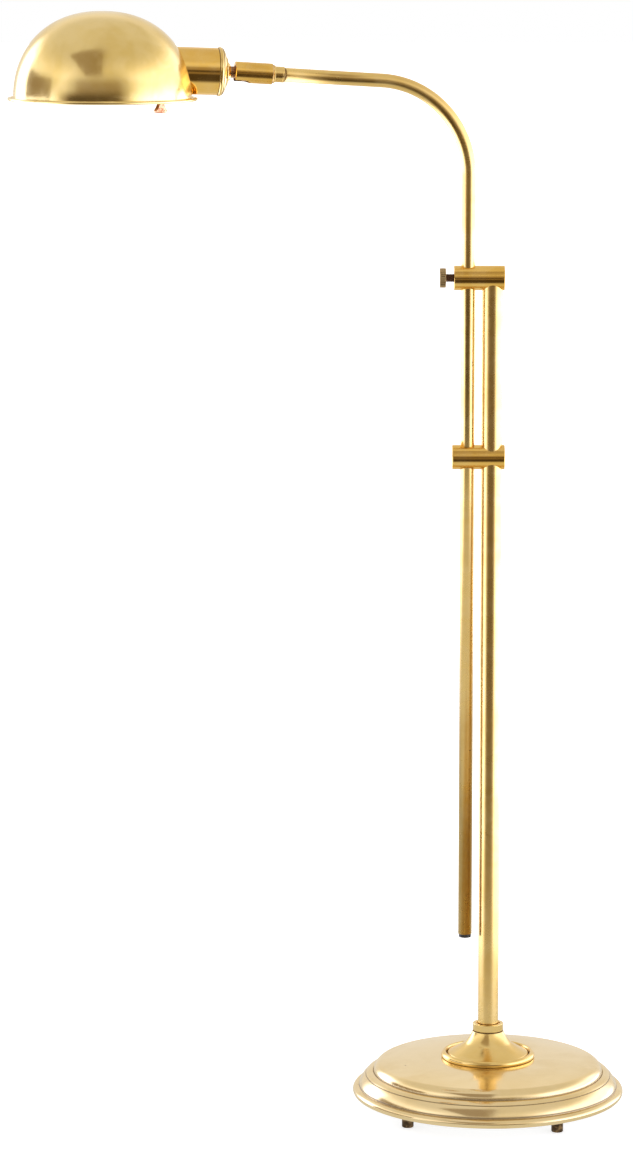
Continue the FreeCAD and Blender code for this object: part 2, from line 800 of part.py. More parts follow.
def shade():
    """Spun brass shade: near-hemisphere with a narrow level brim and a rolled edge."""
    mid = brim_bead_radius           # height of the brim's middle over the rim's lowest point
    top, underside = mid + brim_half_thickness, mid - brim_half_thickness
    outer, outer_points = superellipse(shade_wall_radius, shade_height, top + brim_fillet)
    inner, inner_points = superellipse(shade_wall_radius - shade_thickness,
                                       shade_height - shade_thickness, underside + brim_fillet / 4)
    foot_out, foot_in = outer_points[0], inner_points[0]
    bead_x = brim_radius - brim_bead_radius
    root = bead_x - math.sqrt(brim_bead_radius ** 2 - brim_half_thickness ** 2)
    fillet_x = foot_out.x + brim_fillet
    fillet_middle = Vector(foot_out.x + arc_share * brim_fillet, 0, top + arc_share * brim_fillet)
    edges = [
        outer,
        Part.LineSegment(outer_points[-1], inner_points[-1]).toShape(),
        inner,
        Part.LineSegment(foot_in, Vector(foot_in.x, 0, underside)).toShape(),
        Part.LineSegment(Vector(foot_in.x, 0, underside), Vector(root, 0, underside)).toShape(),
        Part.Arc(Vector(root, 0, underside), Vector(brim_radius, 0, mid), Vector(root, 0, top)).toShape(),
        Part.LineSegment(Vector(root, 0, top), Vector(fillet_x, 0, top)).toShape(),
        Part.Arc(Vector(fillet_x, 0, top), fillet_middle, foot_out).toShape(),
    ]
    section = Part.Face(Part.Wire(Part.__sortEdges__(edges)))
    body = move(section.revolve(ORIGIN, AXIS_Z, 360), shade_centre - ball_distance, z=shade_rim_z - ball_z)
    body.rotate(ORIGIN, AXIS_Y, head_rise)
    hole = rod_x(cup_radius + shade_hole_gap, 0, cup_end + shade_hole_reach)
    return on_neck_axis(body.cut(hole))


def shade_ring():
    """Ring inside the shade that locks it on the cup."""
    return on_neck_axis(tube_x(shade_ring_radius, cup_radius, shade_ring_start, cup_end))


def socket_cap():
    """Brass cap screwed to the stem, closing the back of the lamp socket."""
    start, end, r, wall = socket_cap_start, socket_cap_end, socket_cap_radius, sheet_metal
    boss, bore = socket_cap_boss_radius, stem_radius + slide_fit
    shoulder_x = start + socket_cap_shoulder_end
    dome_x, dome_r = start + socket_cap_dome[0], socket_cap_dome[1]
    cap = lathe_x((start - socket_cap_boss_length, bore), [
        ((start - socket_cap_boss_length, boss),),
        ((start, boss),),
        ((dome_x, dome_r), (shoulder_x, r)),
        ((end, r),),
        ((end, r - wall),),
        ((shoulder_x, r - wall),),
        ((dome_x + wall, dome_r - wall), (start + 2 * wall, boss)),
        ((start + 2 * wall, bore),),
    ])
    return on_neck_axis(cap)


def socket_shell():
    """Brass outer shell of the lamp socket with the slot-hole for the switch shaft."""
    shell = tube_x(socket_shell_radius, socket_shell_radius - sheet_metal, socket_shell_start, socket_shell_end)
    return on_neck_axis(shell.cut(shaft_hole(shaft_slot_gap)))


def shaft_hole(gap):
    return move(rod_z(shaft_radius + gap, -2 * socket_shell_radius, shaft_top), switch_distance)


def socket_liner():
    """Fibre sleeve that insulates the shell."""
    end = socket_shell_end - liner_setback
    liner = tube_x(liner_radius, liner_radius - liner_thickness, socket_body_start, end)
    return on_neck_axis(liner.cut(shaft_hole(shaft_slot_gap)))


def socket_body():
    """Phenolic block that holds the switch, the screw shell and the contact."""
    body = rod_x(socket_body_radius, socket_body_start, socket_body_end)
    return on_neck_axis(body.cut(shaft_hole(ball_fit)))


def screw_shell():
    return on_neck_axis(tube_x(screw_shell_radius, screw_shell_radius - screw_shell_thickness,
                               socket_body_end, screw_shell_end))


def centre_contact():
    """Bent brass tongue that meets the bulb's tip."""
    root, sheet, nose = socket_body_end, contact_sheet, contact_nose
    tongue = outline_face((root, contact_foot), [
        ((root + sheet, contact_foot),),
        ((root + sheet, contact_knee),),
        ((root + contact_reach, nose - sheet),),
        ((root + contact_reach - sheet, nose),),
        ((root, contact_knee + sheet),),
    ]).extrude(Vector(0, contact_width, 0))
    return on_neck_axis(move(tongue, y=-contact_width / 2))


def bulb_base():
    """Bulb's screw base with rounded threads."""
    start, end, crest = bulb_base_start, bulb_base_end, bulb_base_radius
    root = crest - thread_depth
    wall = bulb_base_wall
    steps = [((start + 2.5 * wall, root - 3 * thread_depth),), ((start + 5 * wall, root),)]
    here = start + 5 * wall
    while here + thread_pitch < end - 2 * thread_depth:
        steps.append(((here + thread_pitch / 2, crest), (here + thread_pitch, root)))
        here += thread_pitch
    floor = start + 3.5 * wall
    steps.append(((end, root),))
    steps.append(((end, root - wall),))
    steps.append(((floor + 2 * wall, root - wall),))
    steps.append(((floor, root - wall - 2 * thread_depth),))
    steps.append(((floor, bulb_insulator_radius),))
    steps.append(((start, bulb_insulator_radius),))
    return on_neck_axis(lathe_x((start, bulb_insulator_radius + thread_depth), steps))


def bulb_tip():
    """Insulator and centre contact of the bulb."""
    start, radius = bulb_base_start, bulb_insulator_radius - ball_fit
    floor = start + 3.5 * bulb_base_wall
    return on_neck_axis(lathe_x((start - bulb_tip_rise, 0), [
        ((start - bulb_tip_rise, bulb_tip_radius / 2),),
        ((start - bulb_tip_rise / 2, bulb_tip_radius),),
        ((start, radius),),
        ((floor, radius),),
        ((floor, 0),),
    ]))


def bulb_glass():
    """Frosted envelope, small round-bodied bulb."""
    start = bulb_base_end - bulb_glass_setback
    wall = bulb_glass_wall
    tip = bulb_widest + bulb_glass_radius
    neck = bulb_base_radius - thread_depth - bulb_base_wall - ball_fit
    diagonal = math.sqrt(0.5)
    shoulder = (bulb_widest - bulb_shoulder, math.sqrt(bulb_glass_radius ** 2 - bulb_shoulder ** 2))
    inside = bulb_glass_radius - wall
    glass = lathe_x((start, neck - wall), [
        ((start, neck),),
        ((start + bulb_neck_length, neck),),
        ((start + bulb_flare[0], bulb_flare[1]), shoulder),
        ((bulb_widest + bulb_glass_radius * diagonal, bulb_glass_radius * diagonal), (tip, 0)),
        ((tip - wall, 0),),
        ((bulb_widest + inside * diagonal, inside * diagonal), (shoulder[0], shoulder[1] - wall)),
        ((start + bulb_flare[0], bulb_flare[1] - wall), (start + bulb_neck_length, neck - wall)),
    ])
    return on_neck_axis(glass)


def switch_shaft():
    top = shaft_top - shaft_slot_gap
    return on_neck_axis(move(rod_z(shaft_radius, key_top - key_socket_depth, top), switch_distance))


def switch_key():
    """Flared key on the switch shaft."""
    waist, w = key_waist, key_half_width
    lobe_z = key_bottom + key_lobe_height
    edge_z = key_bottom + key_lobe_height / 5
    flare_z = key_top - key_waist_drop
    blade = outline_face((-waist, key_top), [
        ((waist, key_top),),
        ((waist + 0.06 * w, flare_z), (w, lobe_z)),
        ((w, (lobe_z + edge_z) / 2), (0.87 * w, edge_z)),
        ((0, key_bottom), (-0.87 * w, edge_z)),
        ((-w, (lobe_z + edge_z) / 2), (-w, lobe_z)),
        ((-waist - 0.06 * w, flare_z), (-waist, key_top)),
    ]).extrude(Vector(0, key_thickness, 0))
    blade = move(blade, y=-key_thickness / 2)
    hub = rod_z(key_hub_radius, key_top - key_hub_height, key_top)
    key = blade.fuse(hub).cut(rod_z(shaft_radius, key_top - key_socket_depth, key_top + overrun))
    key.rotate(ORIGIN, AXIS_Z, key_turn)
    return on_neck_axis(move(key, switch_distance))


# ---- the whole lamp ---------------------------------------------------------------------------------------
def pieces():
    """Every piece of the lamp by its node name."""
    named = {
        "base_shell": base_shell(),
        "base_weight": base_weight(),
        "base_plate": base_plate(),
        "foot_studs": foot_studs(),
        "base_washer": base_washer(),
        "base_nut": base_nut(),
        "base_bell": base_bell(),
        "pole_collar": pole_collar(),
        "pole_plug": pole_plug(),
        "pole_nipple": pole_nipple(),
        "fixed_pole": fixed_pole(),
        "upper_block": upper_block(),
        "lower_block": lower_block(),
        "upper_set_screw": set_screw(upper_block_z),
        "lower_set_screw": set_screw(lower_block_z),
        "clamp_screw": clamp_screw(),
        "clamp_pad": clamp_pad(),
        "pole_end_bush": pole_end_bush(),
        "sliding_pole": sliding_pole(),
        "arm_tube": arm_tube(),
        "arm_collar": arm_collar(),
        "swivel_washer": swivel_washer(),
        "arm_nipple": arm_nipple(),
        "swivel_barrel": swivel_barrel(),
        "ball_seat": ball_seat(),
        "swivel_spring": swivel_spring(),
        "swivel_ball": swivel_ball(),
        "neck_washer": neck_washer(),
        "cup_cap": cup_cap(),
        "cup_lock_nut": cup_lock_nut(),
        "cup": cup(),
        "shade": shade(),
        "shade_ring": shade_ring(),
        "socket_cap": socket_cap(),
        "socket_shell": socket_shell(),
        "socket_liner": socket_liner(),
        "socket_body": socket_body(),
        "screw_shell": screw_shell(),
        "centre_contact": centre_contact(),
        "bulb_base": bulb_base(),
        "bulb_tip": bulb_tip(),
        "bulb_glass": bulb_glass(),
        "switch_shaft": switch_shaft(),
        "switch_key": switch_key(),
    }
    foot_names = ("foot_front_left", "foot_front_right", "foot_rear_right", "foot_rear_left")
    for name, (x, y) in zip(foot_names, foot_places()):
        named[name] = move(foot(), x, y)
    return named


def main():
    os.makedirs("parts", exist_ok=True)
    for name, shape in pieces().items():
        if not shape.isValid() or not shape.Solids:
            print("check", name, "valid", shape.isValid(), "solids", len(shape.Solids))
        shape.exportStep(os.path.join("parts", name + ".step"))


if __name__ == "__main__":
    main()
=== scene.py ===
"""Looks of the brass pharmacy floor lamp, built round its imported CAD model.

Blender's units are metres.  Outlines are (radius, height) points in millimetres on a piece's own axis,
measured from the ends and the outer radius of its CAD piece.
"""
import cmath
import json
import math

import bmesh
import bpy
from mathutils import Matrix, Vector


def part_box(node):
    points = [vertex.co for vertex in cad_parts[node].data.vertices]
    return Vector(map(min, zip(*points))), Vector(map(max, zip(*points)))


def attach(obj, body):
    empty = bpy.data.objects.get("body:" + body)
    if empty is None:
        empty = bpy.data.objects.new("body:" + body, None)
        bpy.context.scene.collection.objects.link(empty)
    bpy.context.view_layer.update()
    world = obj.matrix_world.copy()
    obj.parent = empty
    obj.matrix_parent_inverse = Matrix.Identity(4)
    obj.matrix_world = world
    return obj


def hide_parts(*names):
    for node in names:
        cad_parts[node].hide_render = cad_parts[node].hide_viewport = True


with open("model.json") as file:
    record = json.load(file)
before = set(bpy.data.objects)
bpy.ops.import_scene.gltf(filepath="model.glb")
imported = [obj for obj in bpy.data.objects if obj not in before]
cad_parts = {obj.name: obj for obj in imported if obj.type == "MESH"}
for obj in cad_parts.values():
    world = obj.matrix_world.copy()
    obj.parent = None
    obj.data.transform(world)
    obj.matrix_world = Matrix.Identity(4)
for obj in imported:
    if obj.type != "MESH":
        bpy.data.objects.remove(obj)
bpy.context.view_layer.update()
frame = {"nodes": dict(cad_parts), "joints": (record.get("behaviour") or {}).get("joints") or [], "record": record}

MM = 0.001
AXIS_Z = Vector((0, 0, 1))


# ---- places read from the CAD model -------------------------------------------------------------
def middle(node):
    low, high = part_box(node)
    return (low + high) / 2


def joint_of(name):
    return next(joint for joint in frame["joints"] if joint["name"] == name)


def along(origin, axis, up=AXIS_Z):
    """Frame with its origin at a point, its Z along an axis and its X as near as it can be to up."""
    z = Vector(axis).normalized()
    x = (Vector(up) - z * z.dot(Vector(up))).normalized()
    y = z.cross(x)
    turn = Matrix((x, y, z)).transposed().to_4x4()
    return Matrix.Translation(origin) @ turn


def span(node, place):
    """Start, end and outer radius of a CAD piece along a frame's Z axis, in millimetres."""
    inverse = place.inverted()
    corners = [inverse @ vertex.co / MM for vertex in frame["nodes"][node].data.vertices]
    heights = [corner.z for corner in corners]
    return min(heights), max(heights), max(corner.xy.length for corner in corners)


slide_foot = Vector((middle("pole_end_bush").x, middle("pole_end_bush").y, 0))
ball = Vector(joint_of("head_tilt")["pos_m"])
arm_axis = Vector(joint_of("barrel_turn")["axis"])
neck_axis = Vector(joint_of("head_spin")["axis"])
key_axis = Vector(joint_of("switch_turn")["axis"])
key_place = Vector(joint_of("switch_turn")["pos_m"])
clamp_place = Vector(joint_of("clamp_turn")["pos_m"])
clamp_axis = Vector(joint_of("clamp_turn")["axis"])

stand_frame = Matrix.Identity(4)
slide_frame = Matrix.Translation(slide_foot)
arm_frame = along(ball, arm_axis)
neck_frame = along(ball, neck_axis, -key_axis)
key_frame = along(key_place, key_axis, neck_axis)
clamp_frame = along(clamp_place, clamp_axis)
shade_middle = middle("shade")
shade_frame = Matrix.Translation((shade_middle.x, shade_middle.y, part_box("shade")[0].z))

slot_of = {part["node"]: part["material_slot"] for part in frame["record"]["subparts"]}
body_of = {}
for body, members in frame["record"]["behaviour"]["bodies"].items():
    for node in members:
        body_of[node] = body


# ---- shader recipes -----------------------------------------------------------------------------
class Field:
    """One output of a shader node.  Arithmetic on it adds Math nodes."""

    def __init__(self, recipe, socket):
        self.recipe = recipe
        self.socket = socket

    def math(self, operation, *values):
        sockets = dict(enumerate(values))
        return self.recipe.node("ShaderNodeMath", {"operation": operation}, sockets)

    def __add__(self, other):
        return self.math("ADD", self, other)

    __radd__ = __add__

    def __sub__(self, other):
        return self.math("SUBTRACT", self, other)

    def __rsub__(self, other):
        return self.math("SUBTRACT", other, self)

    def __mul__(self, other):
        return self.math("MULTIPLY", self, other)

    __rmul__ = __mul__

    def __truediv__(self, other):
        return self.math("DIVIDE", self, other)

    def __pow__(self, other):
        return self.math("POWER", self, other)

    def __abs__(self):
        return self.math("ABSOLUTE", self)

    def step(self, low, high):
        """0 below low, 1 above high, and smooth between them."""
        settings = {"interpolation_type": "SMOOTHSTEP"}
        return self.recipe.node("ShaderNodeMapRange", settings, {0: self, 1: low, 2: high})

    def band(self, centre, half):
        """1 at a value, falling to 0 at half a width to each side."""
        return 1 - abs(self - centre).step(0.0, half)

    def between(self, low, high, soft):
        """1 from low to high, fading to 0 over a soft edge outside them."""
        return self.step(low - soft, low) * (1 - self.step(high, high + soft))


class Recipe:
    """Node tree of a material or of the world."""

    def __init__(self, owner):
        owner.use_nodes = True
        self.tree = owner.node_tree
        self.tree.nodes.clear()

    def node(self, kind, settings=None, sockets=None, output=0):
        made = self.tree.nodes.new(kind)
        for key, value in (settings or {}).items():
            setattr(made, key, value)
        for key, value in (sockets or {}).items():
            if isinstance(value, Field):
                self.tree.links.new(value.socket, made.inputs[key])
            else:
                made.inputs[key].default_value = value
        return Field(self, made.outputs[output]) if made.outputs else made

    def colours(self, share, first, second):
        """First colour where share is 0, second where it is 1."""
        return self.node("ShaderNodeMix", {"data_type": "RGBA"}, {0: share, 6: first, 7: second}, 2)

    def level(self, share, first, second):
        """First number where share is 0, second where it is 1."""
        return self.node("ShaderNodeMix", {"data_type": "FLOAT"}, {0: share, 2: first, 3: second})

    def place(self, frame_matrix=None):
        """Object coordinates as seen from a piece's own frame."""
        where = self.node("ShaderNodeTexCoord", output="Object")
        if frame_matrix is None:
            return where
        sockets = {
            "Vector": where,
            "Location": frame_matrix.to_translation(),
            "Rotation": frame_matrix.to_euler(),
        }
        return self.node("ShaderNodeMapping", {"vector_type": "TEXTURE"}, sockets)

    def stretched(self, place, scale):
        return self.node("ShaderNodeMapping", {}, {"Vector": place, "Scale": scale})

    def noise(self, place, scale, detail=2.0, roughness=0.5, distortion=0.0):
        sockets = {"Vector": place, "Scale": scale, "Detail": detail,
                   "Roughness": roughness, "Distortion": distortion}
        return self.node("ShaderNodeTexNoise", {}, sockets)

    def dots(self, place, scale, size):
        """1 inside small round dots scattered through space."""
        cells = self.node("ShaderNodeTexVoronoi", {}, {"Vector": place, "Scale": scale})
        return 1 - cells.step(size * 0.6, size)

    def split(self, vector):
        parts = self.node("ShaderNodeSeparateXYZ", {}, {0: vector})
        outputs = parts.socket.node.outputs
        return [Field(self, outputs[k]) for k in range(3)]

    def bump(self, height, distance):
        """Relief that stands out by a distance in metres where height is 1."""
        return self.node("ShaderNodeBump", {}, {"Height": height, "Distance": distance, "Strength": 1.0})

    def surface(self, **sockets):
        shader = self.node("ShaderNodeBsdfPrincipled", {}, sockets)
        self.node("ShaderNodeOutputMaterial", {}, {"Surface": shader})


def colour(red, green, blue):
    return (red, green, blue, 1.0)


def started(name, place=None):
    """New material with its recipe and the coordinates of its frame."""
    material = bpy.data.materials.new(name)
    recipe = Recipe(material)
    return material, recipe, recipe.place(place)


# ---- finishes -----------------------------------------------------------------------------------
BRASS_PALE = colour(0.93, 0.76, 0.44)
# dark colour for real specks, and for painted shade in grooves, at joins and in bores
BRASS_SPECKS_AND_SHADE = colour(0.09, 0.04, 0.02)
RICH_GOLD = (colour(0.88, 0.55, 0.13), colour(0.76, 0.45, 0.09))
WARM_GOLD = (colour(0.86, 0.61, 0.22), colour(0.76, 0.50, 0.15))
SOFT_GOLD = (colour(0.87, 0.66, 0.28), colour(0.76, 0.54, 0.17))
PALE_GOLD = (colour(0.87, 0.69, 0.39), colour(0.80, 0.60, 0.28))
AGED_GOLD = (colour(0.46, 0.34, 0.18), colour(0.34, 0.22, 0.10))


def brass(name, place, gold=WARM_GOLD, grain="turned", polish=0.12, toned=0.75, grooves=(), gaps=(),
          hollow=None):
    """Polished bare brass: tarnish clouds, wiping marks, tool marks and a few dark spots.

    gold holds the clean and the tarnished colour, polish is the roughness where it is clean, and toned
    is how far it has tarnished.  grooves are (radius, half width) and gaps are (height, half width) of
    lines painted dark as shade, in crevices and at joins between parts.  hollow is (radius, lowest,
    highest) of a core painted dark, such as painted shade in a bore.  Lengths are in millimetres.
    """
    material, recipe, at = started(name, place)
    x, y, z = recipe.split(at)
    radius = (x * x + y * y) ** 0.5
    clouds = recipe.noise(at, scale=16.0, detail=3.0, roughness=0.55, distortion=0.4).step(0.38, 0.66)
    wipes = recipe.noise(at, scale=55.0, detail=4.0, roughness=0.6, distortion=1.2).step(0.35, 0.75)
    base = recipe.colours(clouds * toned, *gold)
    base = recipe.colours(wipes * 0.18, base, BRASS_PALE)
    specks_and_shade = recipe.dots(at, scale=40.0, size=0.035) * 0.85
    # painted shade: darker lines along grooves and at joins between parts, where shade falls
    for groove_radius, half_width in grooves:
        specks_and_shade = specks_and_shade.math("MAXIMUM", specks_and_shade, radius.band(groove_radius * MM, half_width * MM) * 0.75)
    for gap_height, half_width in gaps:
        specks_and_shade = specks_and_shade.math("MAXIMUM", specks_and_shade, z.band(gap_height * MM, half_width * MM) * 0.95)
    # painted shade: a dark core, such as the inside of a bore
    if hollow is not None:
        bore, lowest, highest = (value * MM for value in hollow)
        within = 1 - radius.step(bore - 0.2 * MM, bore)
        inside = within * z.between(lowest, highest, 0.1 * MM)
        specks_and_shade = specks_and_shade.math("MAXIMUM", specks_and_shade, inside)
    base = recipe.colours(specks_and_shade, base, BRASS_SPECKS_AND_SHADE)
    if grain == "turned":
        flat = recipe.node("ShaderNodeCombineXYZ", {}, {0: radius, 2: z})
        marks = recipe.noise(recipe.stretched(flat, (2600.0, 1.0, 2600.0)), scale=1.0)
        depth = 0.003 * MM
    else:
        marks = recipe.noise(recipe.stretched(at, (1500.0, 1500.0, 9.0)), scale=1.0)
        depth = 0.001 * MM
    rough = polish + clouds * 0.05 + wipes * 0.05 + specks_and_shade * 0.35
    relief = recipe.bump(marks, depth)
    metallic = 1 - specks_and_shade * 0.5
    recipe.surface(**{"Base Color": base, "Metallic": metallic, "Roughness": rough, "Normal": relief})
    return material


def dark_bronze(name, place, dark, worn_to):
    """Darkened brass, rubbed lighter in patches."""
    material, recipe, at = started(name, place)
    worn = recipe.noise(at, scale=180.0, detail=3.0, roughness=0.6, distortion=0.5).step(0.4, 0.7)
    base = recipe.colours(worn, dark, worn_to)
    relief = recipe.bump(recipe.noise(at, scale=900.0), 0.02 * MM)
    rough = 0.34 - worn * 0.1
    recipe.surface(**{"Base Color": base, "Metallic": 1.0, "Roughness": rough, "Normal": relief})
    return material


def coppery_brass(name, place, dark, worn_to):
    """Brass under an old copper-brown lacquer, worn through in patches."""
    material, recipe, at = started(name, place)
    worn = recipe.noise(at, scale=330.0, detail=3.0, roughness=0.6, distortion=0.8).step(0.42, 0.62)
    base = recipe.colours(worn, dark, worn_to)
    relief = recipe.bump(recipe.noise(at, scale=1200.0), 0.02 * MM)
    rough = 0.24 + worn * 0.08
    recipe.surface(**{"Base Color": base, "Metallic": 1.0, "Roughness": rough, "Normal": relief})
    return material


def cast_iron(name):
    """Gritty cast iron with a little rust."""
    material, recipe, at = started(name)
    grit = recipe.noise(at, scale=700.0, detail=4.0, roughness=0.7)
    rust = recipe.noise(at, scale=40.0, detail=4.0, roughness=0.6).step(0.6, 0.72)
    base = recipe.colours(rust * 0.5, colour(0.045, 0.045, 0.05), colour(0.16, 0.08, 0.04))
    relief = recipe.bump(grit, 0.25 * MM)
    rough = 0.62 + rust * 0.2
    recipe.surface(**{"Base Color": base, "Metallic": 0.3, "Roughness": rough, "Normal": relief})
    return material


def plated_steel(name):
    """Bright plating that has clouded over."""
    material, recipe, at = started(name)
    haze = recipe.noise(at, scale=90.0, detail=3.0, roughness=0.6, distortion=0.6).step(0.35, 0.7)
    base = recipe.colours(haze, colour(0.60, 0.61, 0.62), colour(0.47, 0.46, 0.43))
    relief = recipe.bump(recipe.noise(at, scale=1500.0), 0.01 * MM)
    rough = 0.28 + haze * 0.14
    recipe.surface(**{"Base Color": base, "Metallic": 1.0, "Roughness": rough, "Normal": relief})
    return material


def moulded(name, dark, light, shine, grain_scale, grain_depth):
    """Moulded or pressed insulating stuff, with a faint mottle and a fine surface grain."""
    material, recipe, at = started(name)
    mottle = recipe.noise(at, scale=150.0, detail=3.0, roughness=0.6, distortion=0.5).step(0.35, 0.7)
    base = recipe.colours(mottle, dark, light)
    relief = recipe.bump(recipe.noise(at, grain_scale, detail=3.0), grain_depth)
    recipe.surface(**{"Base Color": base, "Roughness": shine + mottle * 0.08, "Normal": relief})
    return material


def frosted_glass(name):
    """White-frosted glass under a clear outer skin."""
    material, recipe, at = started(name)
    frost = recipe.noise(at, scale=600.0)
    haze = recipe.noise(at, scale=45.0).step(0.3, 0.7)
    base = recipe.colours(haze, colour(0.90, 0.90, 0.87), colour(0.96, 0.96, 0.95))
    relief = recipe.bump(frost, 0.01 * MM)
    rough = 0.36 + frost * 0.08
    recipe.surface(**{"Base Color": base, "Roughness": rough, "Coat Weight": 0.4, "Coat Roughness": 0.08,
                      "Transmission Weight": 0.25, "IOR": 1.5, "Normal": relief})
    return material


def rolled_aluminium(name, place):
    """Bare aluminium with the lines of rolling round it."""
    material, recipe, at = started(name, place)
    haze = recipe.noise(at, scale=120.0, detail=3.0, roughness=0.6).step(0.35, 0.7)
    base = recipe.colours(haze, colour(0.80, 0.80, 0.79), colour(0.66, 0.65, 0.62))
    lines = recipe.noise(recipe.stretched(at, (60.0, 60.0, 2400.0)), scale=1.0)
    relief = recipe.bump(lines, 0.01 * MM)
    rough = 0.3 + haze * 0.1
    recipe.surface(**{"Base Color": base, "Metallic": 1.0, "Roughness": rough, "Normal": relief})
    return material


# ---- finishes on the CAD pieces that are carried over -------------------------------------------
def dress(node, material):
    """Give a carried-over CAD piece its finish."""
    for entry in frame["nodes"][node].material_slots:
        entry.material = material


barrel_start, barrel_end, barrel_radius = span("swivel_barrel", arm_frame)
stand_brass = brass("stand_brass", stand_frame, RICH_GOLD)
tube_brass = brass("tube_brass", slide_frame, grain="drawn", polish=0.25)
arm_brass = brass("arm_brass", arm_frame, polish=0.14)
head_brass = brass("head_brass", neck_frame, RICH_GOLD)
shade_brass = brass("shade_brass", shade_frame, SOFT_GOLD, polish=0.145, toned=0.9)
# painted shade inside the barrel's bore, seen through its slot
barrel_brass = brass("barrel_brass", arm_frame, RICH_GOLD, polish=0.13, toned=1.0,
                     hollow=(barrel_radius - 0.1, barrel_start + 0.5, barrel_end - 0.4))

finish_of = {
    "dark_brass": dark_bronze("dark_bronze", stand_frame,
                              colour(0.07, 0.045, 0.025), colour(0.30, 0.19, 0.09)),
    "aged_brass": coppery_brass("aged_brass", stand_frame,
                                colour(0.24, 0.12, 0.06), colour(0.46, 0.30, 0.15)),
    "copper_brown": coppery_brass("copper_brown", neck_frame,
                                  colour(0.30, 0.12, 0.05), colour(0.72, 0.42, 0.22)),
    "cast_iron": cast_iron("cast_iron"),
    "plated_steel": plated_steel("plated_steel"),
    "black_plastic": moulded("black_plastic", colour(0.012, 0.012, 0.012), colour(0.03, 0.03, 0.03),
                             shine=0.45, grain_scale=900.0, grain_depth=0.03 * MM),
    "phenolic": moulded("phenolic", colour(0.03, 0.02, 0.016), colour(0.06, 0.04, 0.03),
                        shine=0.3, grain_scale=500.0, grain_depth=0.02 * MM),
    "fibre": moulded("fibre", colour(0.30, 0.19, 0.11), colour(0.42, 0.30, 0.19),
                     shine=0.75, grain_scale=1100.0, grain_depth=0.06 * MM),
    "frosted_glass": frosted_glass("frosted_glass"),
    "bare_aluminium": rolled_aluminium("rolled_aluminium", neck_frame),
}
brass_of_body = {"stand": stand_brass, "mast": arm_brass, "swivel": arm_brass, "head": head_brass}
for node, slot in slot_of.items():
    dress(node, brass_of_body[body_of[node]] if slot == "brass" else finish_of[slot])
dress("shade", shade_brass)
dress("swivel_barrel", barrel_brass)


# ---- shaping ------------------------------------------------------------------------------------
def arc(first, through, last, count):
    """Points after the first on the circle through three (radius, height) points, up to the last."""
    a, b, c = (complex(*point[:2]) for point in (first, through, last))
    share = (c - a) / (b - a)
    centre = (b - a) * (share - abs(share) ** 2) / (2j * share.imag) + a
    turn = cmath.phase((c - centre) / (a - centre))
    leftwards = ((b - a).conjugate() * (c - b)).imag > 0
    if leftwards and turn < 0:
        turn += 2 * math.pi
    if not leftwards and turn > 0:
        turn -= 2 * math.pi
    points = [centre + (a - centre) * cmath.exp(1j * turn * k / count) for k in range(1, count + 1)]
    return [(point.real, point.imag) for point in points[:-1]] + [last]


def corners_of(outline, count):
    """Corners of an outline; a step that is a pair of points is an arc through the one to the other."""
    corners = [outline[0]]
    for step in outline[1:]:
        if isinstance(step[0], tuple):
            corners += arc(corners[-1], step[0], step[1], count)
        else:
            corners.append(step)
    return corners


def turned(outline, steps=128, count=12):
    """Lathe work about Z from (radius, height) corners; a third number rounds a corner off.

    steps is the number of facets round the piece, and count the number in each arc.
    """
    shape = bmesh.new()
    corners = corners_of(outline, count)
    verts = [shape.verts.new((corner[0], 0.0, corner[1])) for corner in corners]
    for here, there in zip(verts, verts[1:]):
        shape.edges.new((here, there))
    if corners[0][0] > 0 or corners[-1][0] > 0:
        shape.edges.new((verts[-1], verts[0]))
    for vert, corner in zip(verts, corners):
        if len(corner) == 3:
            bmesh.ops.bevel(shape, geom=[vert], offset=corner[2], offset_type="OFFSET", segments=4,
                            profile=0.5, affect="VERTICES", clamp_overlap=True, material=-1)
    bmesh.ops.spin(shape, geom=shape.verts[:] + shape.edges[:], cent=(0, 0, 0), axis=AXIS_Z,
                   angle=2 * math.pi, steps=steps, use_merge=True)
    bmesh.ops.remove_doubles(shape, verts=shape.verts, dist=0.0005)
    bmesh.ops.recalc_face_normals(shape, faces=shape.faces)
    return shape


def finish_piece(shape, nodes, material, place=stand_frame, unit=MM, sharp=35.0):
    """Make a shape into a piece that rides with its CAD nodes and stands for them.

    sharp is the angle in degrees past which an edge stays crisp.
    """
    node = nodes[0]
    bmesh.ops.transform(shape, matrix=place @ Matrix.Scale(unit, 4), verts=shape.verts)
    mesh = bpy.data.meshes.new(node + "_finished")
    shape.to_mesh(mesh)
    shape.free()
    mesh.polygons.foreach_set("use_smooth", [True] * len(mesh.polygons))
    mesh.set_sharp_from_angle(angle=math.radians(sharp))
    mesh.materials.append(material)
    piece = bpy.data.objects.new(node + "_finished", mesh)
    bpy.context.scene.collection.objects.link(piece)
    flats = piece.modifiers.new("flats", "WEIGHTED_NORMAL")
    flats.keep_sharp = True
    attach(piece, body_of[node])
    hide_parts(*nodes)
    return piece


